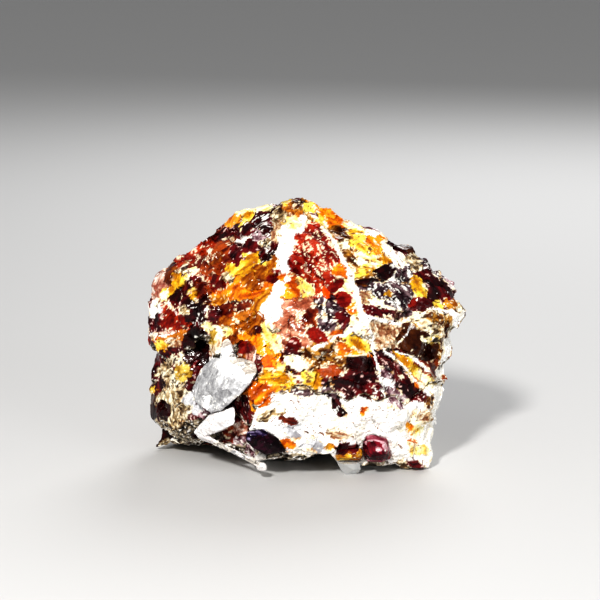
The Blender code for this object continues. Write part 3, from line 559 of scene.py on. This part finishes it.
def patch_looks(jagged, calm, table, default):
    """For each (across, up): its look, its patch's number and turn. Small patches lie on top."""
    turns = np.where(jagged[:, 0] < PARTING, LEFT_TURN, RIGHT_TURN).astype(float)
    found = np.full(len(jagged), NAMES.index(default))
    patch = np.zeros(len(jagged), int)
    least = np.full(len(jagged), FAR)
    number = 0
    for name, patches in table.items():
        spots, counts_as = (calm, GEM_ON_TOP) if name in GEMS else (jagged, 1)
        for across, up, long, wide, turn in patches:
            number += 1
            away = oval_distance(spots, across, up, long + BORDER, wide + BORDER, turn)
            size = long * wide * counts_as
            score = np.where(away < 1, size * (0.6 + 0.4 * away), UNCOVERED + away)
            better = (score < least) & (away < spread_of(name, default))
            found[better] = NAMES.index(name)
            patch[better] = number
            least[better] = score[better]
            if long > DRAWN_OUT * wide:
                turns[better] = turn
    return found, patch, turns


def vein_distance(jagged, calm):
    """How far each place is from the nearest vein, in half widths of it. Thin ones run calm."""
    nearest = np.full(len(calm), FAR)
    for width, run in VEINS:
        spots = calm if width < THIN_VEIN else jagged
        for (ax, ay), (bx, by) in zip(run, run[1:]):
            start, step = np.array((ax, ay)), np.array((bx - ax, by - ay))
            share = np.clip(((spots - start) @ step) / (step @ step), 0, 1)
            away = np.linalg.norm(spots - start - share[:, None] * step, axis=1)
            nearest = np.minimum(nearest, away / (width / 2))
    return nearest


def looks_elsewhere(points, rng):
    """The look, the patch's number and the cleavage's way off the front, grain by grain."""
    shares = np.array(list(ELSEWHERE.values()), float)
    middles = points[rng.choice(len(points), ELSEWHERE_SPOTS)]
    kinds = [NAMES.index(name) for name in ELSEWHERE]
    kinds = rng.choice(kinds, ELSEWHERE_SPOTS, p=shares / shares.sum())
    grow = rng.uniform(0.6, 1.5, ELSEWHERE_SPOTS)
    ways = rng.normal(size=(ELSEWHERE_SPOTS, 3))
    ways /= np.linalg.norm(ways, axis=1)[:, None]
    square = (points**2).sum(1)[:, None] + (middles**2).sum(1)[None] - 2 * points @ middles.T
    nearest = (np.sqrt(np.maximum(square, 0)) / grow).argmin(1)
    return kinds[nearest], ELSEWHERE_FIRST + nearest, ways[nearest]


def looks_at(points, normals, table, default, seed):
    """For each place: its look, its patch's number, its cleavage's way, and if it's in front."""
    rng = np.random.default_rng(seed)
    spots = as_seen(points)
    waves = np.stack([ripple(spots, seed + n) for n in (0, 1)], 1)
    jags = np.stack([shards_at(points, 1.1, seed + n) for n in (5, 6)], 1)
    calm = spots + CALM_WAVES * waves
    jagged = spots + PATCH_WAVES * waves + PATCH_JAGS * jags
    found, patch, turns = patch_looks(jagged, calm, table, default)
    if table is FRONT:
        away = vein_distance(spots + VEIN_WAVES * waves + VEIN_JAGS * jags, calm)
        vein = away < 1 + VEIN_SWELL * waves[:, 0]
        found[vein] = NAMES.index("white")
        patch[vein] = VEIN_PATCH
    turns = np.radians(turns)
    along = np.outer(np.cos(turns), (1.0, 0.0, 0.0))
    along += np.outer(np.sin(turns), np.array(EYE_UPWARD))
    front = normals @ np.array(TO_EYE) > FRONT_FROM
    if default == "film":
        wavy = points[~front] + 0.5 * noise_at(points[~front], 0.8, seed)[:, None]
        found[~front], patch[~front], along[~front] = looks_elsewhere(wavy, rng)
        # Places that face down take the dark bottom look.
        found[normals[:, 2] < UNDERSIDE] = NAMES.index("dark_bottom")
    else:
        found[~front] = NAMES.index(default)
        patch[~front] = 0
    return found, patch, along, front


def placed(name, data):
    """A new object that shows the data."""
    made = bpy.data.objects.new(name, data)
    bpy.context.scene.collection.objects.link(made)
    return made


def drop_crumbs(work):
    """Removes the loose crumbs that an even mesh leaves beside its piece."""
    left, islands = set(work.verts), []
    while left:
        island = [left.pop()]
        for vert in island:
            beside = {edge.other_vert(vert) for edge in vert.link_edges} & left
            left -= beside
            island.extend(beside)
        islands.append(island)
    islands.sort(key=len)
    crumbs = [vert for island in islands[:-1] for vert in island]
    bmesh.ops.delete(work, geom=crumbs, context="VERTS")


def faces_eye(edge):
    """Whether a face beside the edge looks towards the eye."""
    return any(face.normal.dot(TO_EYE) > 0.05 for face in edge.link_faces)


def fine_mesh(node, spacing):
    """An even mesh over the node's solid, twice as fine on the side that faces the eye."""
    copy = placed("even", node.data.copy())
    even = copy.modifiers.new("even", "REMESH")
    even.mode = "VOXEL"
    even.voxel_size = spacing * MM * 1
    graph = bpy.context.evaluated_depsgraph_get()
    mesh = bpy.data.meshes.new_from_object(copy.evaluated_get(graph))
    bpy.data.objects.remove(copy)
    work = bmesh.new()
    work.from_mesh(mesh)
    drop_crumbs(work)
    seen = [edge for edge in work.edges if faces_eye(edge)]
    bmesh.ops.subdivide_edges(work, edges=seen, cuts=1, use_grid_fill=True)
    work.normal_update()
    work.to_mesh(mesh)
    work.free()
    mesh.materials.clear()
    return mesh


def numbers(collection, key, width, kind=np.float32):
    """One property of all the mesh's elements, a row for each."""
    out = np.empty(len(collection) * width, kind)
    collection.foreach_get(key, out)
    return out.reshape(-1, width)


def thin_out(points, radii):
    """The indexes of points of which no two are nearer than the smaller one's radius."""
    side = float(radii.max())
    steps = [(x, y, z) for x in (-1, 0, 1) for y in (-1, 0, 1) for z in (-1, 0, 1)]
    kept, chosen = {}, []
    for index, (place, reach) in enumerate(zip(points.tolist(), radii.tolist())):
        x, y, z = (int(number // side) for number in place)
        near = [other for i, j, k in steps for other in kept.get((x + i, y + j, z + k), ())]
        if all(math.dist(place, spot) >= min(reach, own) for spot, own in near):
            kept.setdefault((x, y, z), []).append((place, reach))
            chosen.append(index)
    return chosen


def facet_middles(points, sizes, patch, rng):
    """The indexes of the places that facets grow from, at least one in each patch."""
    tried = rng.permutation(len(points))[:CANDIDATES]
    middles = list(tried[thin_out(points[tried], sizes[tried])])
    for number in set(patch.tolist()) - set(patch[middles].tolist()):
        inside = np.flatnonzero(patch == number)
        middles.append(inside[len(inside) // 2])
    return np.array(middles)


def facet_of(points, along, patch, sizes, middles):
    """For each place, the number of its facet. Facets are drawn out along the cleavage."""
    tree = KDTree(len(middles))
    for number, index in enumerate(middles):
        tree.insert(points[index], number)
    tree.balance()
    count = min(NEAR_FACETS, len(middles))
    near = [[number for _, number, _ in tree.find_n(place, count)] for place in points.tolist()]
    best = np.zeros(len(points), int)
    least = np.full(len(points), FAR)
    for column in np.array(near).T:
        index = middles[column]
        step = points - points[index]
        run = (step * along[index]).sum(1)
        square = np.maximum((step**2).sum(1) - run**2 * (1 - 1 / STRETCH**2), 0)
        away = np.sqrt(square) / sizes[index]
        away += OTHER_PATCH * (patch[index] != patch)
        better = away < least
        best[better] = column[better]
        least[better] = away[better]
    return best


def facet_planes(normals, looks, patch, middles, rng):
    """Each facet's own normal and how far it stands out. One patch shares three ways to lean."""
    ways = rng.normal(size=(ELSEWHERE_FIRST + ELSEWHERE_SPOTS, 3, 3))
    way = ways[patch[middles], rng.integers(3, size=len(middles))]
    normal = normals[middles]
    way -= normal * (way * normal).sum(1)[:, None]
    way /= np.linalg.norm(way, axis=1)[:, None] + 1e-6
    lean = np.radians(each_look("lean")[looks[middles]]) * rng.uniform(*LEANS, len(middles))
    plane = normal + way * np.tan(lean)[:, None]
    plane /= np.linalg.norm(plane, axis=1)[:, None]
    return plane, rng.uniform(-STANDS_OUT, STANDS_OUT, len(middles))


def broken_up(points, normals, looks, patch, along, front, rng):
    """For each place: its facet, and how far that facet's plane stands out there."""
    sizes = each_look("size")[looks] * rng.uniform(*FACET_SIZES, len(points))
    sizes *= np.where(front, 1.0, ELSEWHERE_COARSER)
    middles = facet_middles(points, sizes, patch, rng)
    facet = facet_of(points, along, patch, sizes, middles)
    planes, stands = facet_planes(normals, looks, patch, middles, rng)
    plane, start = planes[facet], points[middles][facet]
    facing = np.maximum((normals * plane).sum(1), 0.5)
    return facet, (stands[facet] + ((start - points) * plane).sum(1)) / facing


def kept_low(height, normals):
    """Relief within its limits, which are tighter along the outline that the eye sees."""
    level = np.abs(normals @ np.array(TO_EYE))
    deepest = EDGE_SUNK + (MOST_SUNK - EDGE_SUNK) * level
    return np.clip(height, deepest, MOST_RAISED * level + EDGE_RAISED)


def borders(mesh, patch):
    """How many steps each place is from its patch's border: 1 on it, INNERMOST well inside."""
    ends = numbers(mesh.edges, "vertices", 2, np.int32)
    rank = np.full(len(patch), INNERMOST)
    split = ends[patch[ends[:, 0]] != patch[ends[:, 1]]]
    rank[split.ravel()] = 1
    for step in range(1, INNERMOST - 1):
        beside = ends[(rank[ends[:, 0]] == step) | (rank[ends[:, 1]] == step)].ravel()
        rank[beside] = np.minimum(rank[beside], step + 1)
    return rank


def blended(looks, level):
    """The looks' colours at a level from 0, their darkest, to 2, their brightest."""
    table = each_look("shades")
    level = np.clip(level, 0, 1.999)
    low = level.astype(int)
    share = (level - low)[:, None]
    return table[looks, low] * (1 - share) + table[looks, low + 1] * share


def top_share(values, looks, shares):
    """Marks in each look its given share of places, where the values are highest."""
    marked = np.zeros(len(values), bool)
    for look in np.unique(looks):
        inside = looks == look
        if shares[look] > 0:
            marked |= inside & (values > np.quantile(values[inside], 1 - shares[look]))
    return marked


def tints(points, looks, along, facet, rank, front, seed, rng):
    """Each place's colour and roughness. Grains are brighter near their borders: painted glow of
    light through thin edges.
    """
    run = (points * along).sum(1)
    drawn = points - along * (run * 0.8)[:, None]
    cloud = noise_at(points, 0.42, seed)
    streak = noise_at(drawn, 1.5, seed + 1)
    fine = noise_at(drawn, 3.1, seed + 2)
    speck = noise_at(drawn, 3.4, seed + 3) + rng.normal(0, 0.08, len(points))
    shard = shards_at(points - along * (run * 0.6)[:, None], 0.95, seed)
    own = rng.uniform(-0.6, 0.6, facet.max() + 1)[facet]
    mottle = np.where(each_look("size") < 1, 2.4, 0.8)[looks] * fine  # the sugary looks have more
    # Painted glow: brighter towards each patch's border, as of light shining through a thin edge.
    edge_glow = 0.5 * (1 - (rank - 1) / (INNERMOST - 1))
    level = 0.85 + 1.2 * cloud + 1.2 * streak + mottle + own + 0.9 * shard + edge_glow
    color = blended(looks, level)
    rough = each_look("roughness")[looks]
    # Flecks, partly specks and partly painted glints; fewer of them off the front.
    often = speck + 0.35 * cloud - np.where(front, 0, 0.2)
    flecked = top_share(often, looks, each_look("flecked"))
    color[flecked] = each_look("fleck")[looks[flecked]]
    rough[flecked] = PALE_ROUGHNESS
    bar = np.where(rank == 1, FILM_ON_BORDER, FILM_BESIDE) + np.where(front, 0, FILM_BEHIND)
    bar += np.where(points[:, 0] < PARTING, FILM_LEFT, 0)
    edge = (rank < 3) & (noise_at(points, 0.7, seed + 4) + 0.5 * fine > bar)
    edge &= ~np.array([name in GEMS for name in NAMES])[looks]
    film = blended(np.full(len(points), NAMES.index("film")), level + FILM_BRIGHTER)
    color[edge] = film[edge]
    rough[edge] = PALE_ROUGHNESS
    return color, rough


def beside_others(points, nodes, name):
    """Marks the places within SEAM of another node's solid."""
    graph = bpy.context.evaluated_depsgraph_get()
    trees = [BVHTree.FromObject(node, graph) for key, node in nodes.items() if key != name]
    places = [Vector(place) for place in (points * MM).tolist()]
    return np.array([any(tree.find_nearest(v, SEAM * MM)[0] for tree in trees) for v in places])


def crust(name, nodes, table, default, material, seed, spacing, broken):
    """The node's solid as a fine mesh, broken into facets or as it is, with its colours."""
    rng = np.random.default_rng(seed)
    mesh = fine_mesh(nodes[name], spacing)
    points = numbers(mesh.vertices, "co", 3).astype(float) / MM
    normals = numbers(mesh.vertex_normals, "vector", 3).astype(float)
    looks, patch, along, front = looks_at(points, normals, table, default, seed)
    facet, height = broken_up(points, normals, looks, patch, along, front, rng)
    grain = each_look("grain")[looks] * GRAIN_HEIGHT * noise_at(points, GRAIN_WAVES, seed + 9)
    height = kept_low(height, normals) + GROWTH + grain
    seam = beside_others(points, nodes, name)
    height[seam] = np.clip(height[seam], *SEAM_RAISED)
    height = height + eased(points, ZONES.get(name, ())) if broken else np.where(seam, height, 0)
    height[(points[:, 2] < STANDS_BELOW) & (normals[:, 2] < -0.5)] = 0
    rank = borders(mesh, patch) if table is FRONT else np.full(len(points), INNERMOST)
    color, rough = tints(points, looks, along, facet, rank, front, seed, rng)
    moved = points + normals * height[:, None]
    if table is FRONT:
        moved[:, 2] += lifted(points)
    moved[:, 2] = np.maximum(moved[:, 2], 0)
    mesh.vertices.foreach_set("co", (moved * MM).astype(np.float32).ravel())
    tint = mesh.color_attributes.new("tint", "FLOAT_COLOR", "POINT")
    tint.data.foreach_set("color", np.column_stack([color, rough]).astype(np.float32).ravel())
    mesh.materials.append(material)
    mesh.polygons.foreach_set("use_smooth", np.zeros(len(mesh.polygons), bool))
    mesh.update()
    return placed(name + "_facets", mesh)


def crystal(name, node, material, bevel):
    """A crystal that stands apart: its faceted solid with slightly worn edges."""
    mesh = node.data.copy()
    mesh.materials.clear()
    mesh.materials.append(material)
    mesh.polygons.foreach_set("use_smooth", np.zeros(len(mesh.polygons), bool))
    piece = placed(name + "_facets", mesh)
    worn = piece.modifiers.new("worn edges", "BEVEL")
    worn.width = bevel * MM
    worn.segments = 2
    worn.angle_limit = math.radians(20)
    return piece


def shader_of(name):
    """A new material, its nodes and links, and its shader."""
    material = bpy.data.materials.new(name)
    material.use_nodes = True
    tree = material.node_tree
    return material, tree.nodes, tree.links, tree.nodes["Principled BSDF"]


def noise_node(nodes, links, scale, detail):
    """Noise over the object, with the scale in bumps a millimetre."""
    place = nodes.new("ShaderNodeTexCoord")
    made = nodes.new("ShaderNodeTexNoise")
    made.inputs["Scale"].default_value = scale / MM
    made.inputs["Detail"].default_value = detail
    links.new(place.outputs["Object"], made.inputs["Vector"])
    return made.outputs["Fac"]


def roughened(nodes, links, shader, scale, depth):
    """Gives a shader fine bumps of this depth."""
    bump = nodes.new("ShaderNodeBump")
    bump.inputs["Strength"].default_value = 0.7
    bump.inputs["Distance"].default_value = depth * MM
    links.new(noise_node(nodes, links, scale, 3.0), bump.inputs["Height"])
    links.new(bump.outputs["Normal"], shader.inputs["Normal"])


def mineral(name, ior, bump_scale, bump_depth):
    """The facets' own colours with a fine mottle, and the roughness that their alpha holds."""
    material, nodes, links, shader = shader_of(name)
    tint = nodes.new("ShaderNodeVertexColor")
    tint.layer_name = "tint"
    mottle = nodes.new("ShaderNodeMapRange")
    mottle.inputs["From Min"].default_value = 0.3
    mottle.inputs["From Max"].default_value = 0.7
    mottle.inputs["To Min"].default_value = 0.72
    mottle.inputs["To Max"].default_value = 1.22
    links.new(noise_node(nodes, links, 3.0, 3.0), mottle.inputs["Value"])
    lit = nodes.new("ShaderNodeVectorMath")
    lit.operation = "SCALE"
    links.new(tint.outputs["Color"], lit.inputs[0])
    links.new(mottle.outputs["Result"], lit.inputs["Scale"])
    links.new(lit.outputs["Vector"], shader.inputs["Base Color"])
    links.new(tint.outputs["Alpha"], shader.inputs["Roughness"])
    shader.inputs["IOR"].default_value = ior
    shader.inputs["Specular IOR Level"].default_value = 0.2
    roughened(nodes, links, shader, bump_scale, bump_depth)
    return material


def glassy(name, color, roughness, transmission, ior):
    """A clear crystal's material."""
    material, nodes, links, shader = shader_of(name)
    shader.inputs["Base Color"].default_value = (*color, 1)
    shader.inputs["Roughness"].default_value = roughness
    shader.inputs["Transmission Weight"].default_value = transmission
    shader.inputs["IOR"].default_value = ior
    roughened(nodes, links, shader, 0.9, 0.2)
    return material


def light(name, place, size, power, color=(1, 1, 1)):
    """A round lamp that shines on the middle of the piece. Its place and size are metres."""
    lamp = bpy.data.lights.new(name, "AREA")
    lamp.shape = "DISK"
    lamp.size = size
    lamp.energy = power
    lamp.color = color
    way = Vector((0, 0, 0.02)) - Vector(place)
    made = placed(name, lamp)
    made.location = place
    made.rotation_euler = way.to_track_quat("-Z", "Y").to_euler()


def studio():
    """A plain floor, a dim even surround and three lamps."""
    reach = 6.0
    corners = [(-reach, -reach, 0), (reach, -reach, 0), (reach, reach, 0), (-reach, reach, 0)]
    mesh = bpy.data.meshes.new("floor")
    mesh.from_pydata(corners, [], [(0, 1, 2, 3)])
    material, _, _, shader = shader_of("floor")
    shader.inputs["Base Color"].default_value = (0.62, 0.62, 0.62, 1)
    shader.inputs["Roughness"].default_value = 0.7
    mesh.materials.append(material)
    floor = placed("floor", mesh)
    world = bpy.data.worlds.new("studio")
    world.use_nodes = True
    world.node_tree.nodes["Background"].inputs["Color"].default_value = (0.9, 0.9, 0.9, 1)
    world.node_tree.nodes["Background"].inputs["Strength"].default_value = 0.3
    bpy.context.scene.world = world
    light("key", (-0.12, -0.36, 0.28), 0.06, 1.6, (1, 0.98, 0.95))
    light("fill", (0.3, -0.32, 0.12), 0.2, 0.35)
    light("back", (0.1, 0.35, 0.3), 0.25, 0.7)


def eye():
    """The camera, as the photo was taken."""
    data = bpy.data.cameras.new("camera")
    data.sensor_width = SENSOR
    data.lens = SENSOR * EYE_DISTANCE / PICTURE_WIDTH
    data.clip_start = 0.01
    camera = placed("camera", data)
    place = AIM + TO_EYE * EYE_DISTANCE
    target = AIM + Vector((PICTURE_MIDDLE[0], 0, 0)) + EYE_UPWARD * PICTURE_MIDDLE[1]
    camera.location = place * MM
    camera.rotation_euler = (target - place).to_track_quat("-Z", "Y").to_euler()
    bpy.context.scene.camera = camera


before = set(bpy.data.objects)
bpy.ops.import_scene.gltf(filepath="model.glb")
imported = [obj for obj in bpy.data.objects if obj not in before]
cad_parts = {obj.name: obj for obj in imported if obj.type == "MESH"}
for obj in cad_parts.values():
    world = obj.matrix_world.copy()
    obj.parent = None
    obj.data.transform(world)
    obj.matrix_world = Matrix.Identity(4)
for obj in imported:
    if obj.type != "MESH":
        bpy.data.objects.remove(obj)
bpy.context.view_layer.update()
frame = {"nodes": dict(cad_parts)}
nodes = frame["nodes"]

blende = mineral("blende", 1.6, 2.5, 0.03)
carbonate = mineral("carbonate", 1.6, 2.5, 0.08)
quartz = mineral("milky quartz", 1.55, 1.2, 0.05)
clear = glassy("rock crystal", (0.95, 0.96, 0.96), 0.08, 0.6, 1.54)

# Each node with its slot, its patches, the look where none lies, its material, the spacing of its
# mesh, and whether it is broken into facets.
CRUSTS = [
    ("sphalerite", "sphalerite", FRONT, "film", blende, 0.47, True),
    ("dolomite", "dolomite", FRONT, "dolomite", carbonate, 0.38, True),
    ("quartz_lump", "quartz", QUARTZ, "quartz", quartz, 0.2, True),
    ("white_shard", "calcite", SHARD, "shard", carbonate, 0.2, True),
    ("dark_crystal", "black_blende", NIGHT, "night", blende, 0.2, False),
    ("ruby_crystal", "ruby_blende", RUBY, "ruby", blende, 0.2, False),
    ("amber_crystal", "honey_blende", HONEY, "honey", blende, 0.2, False),
]
pieces = {}
for number, (node, slot, table, default, material, spacing, broken) in enumerate(CRUSTS):
    seed = SEED + 10 * number
    pieces[node] = crust(node, nodes, table, default, material, seed, spacing, broken), slot
worn = crystal("clear_crystal", nodes["clear_crystal"], clear, 0.1)
pieces["clear_crystal"] = worn, "rock_crystal"
for node, (piece, slot) in pieces.items():
    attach(piece, "root")
    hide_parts(node)

studio()
eye()
bpy.context.scene.view_settings.view_transform = "Standard"
bpy.context.scene.view_settings.look = "High Contrast"

bpy.context.view_layer.update()
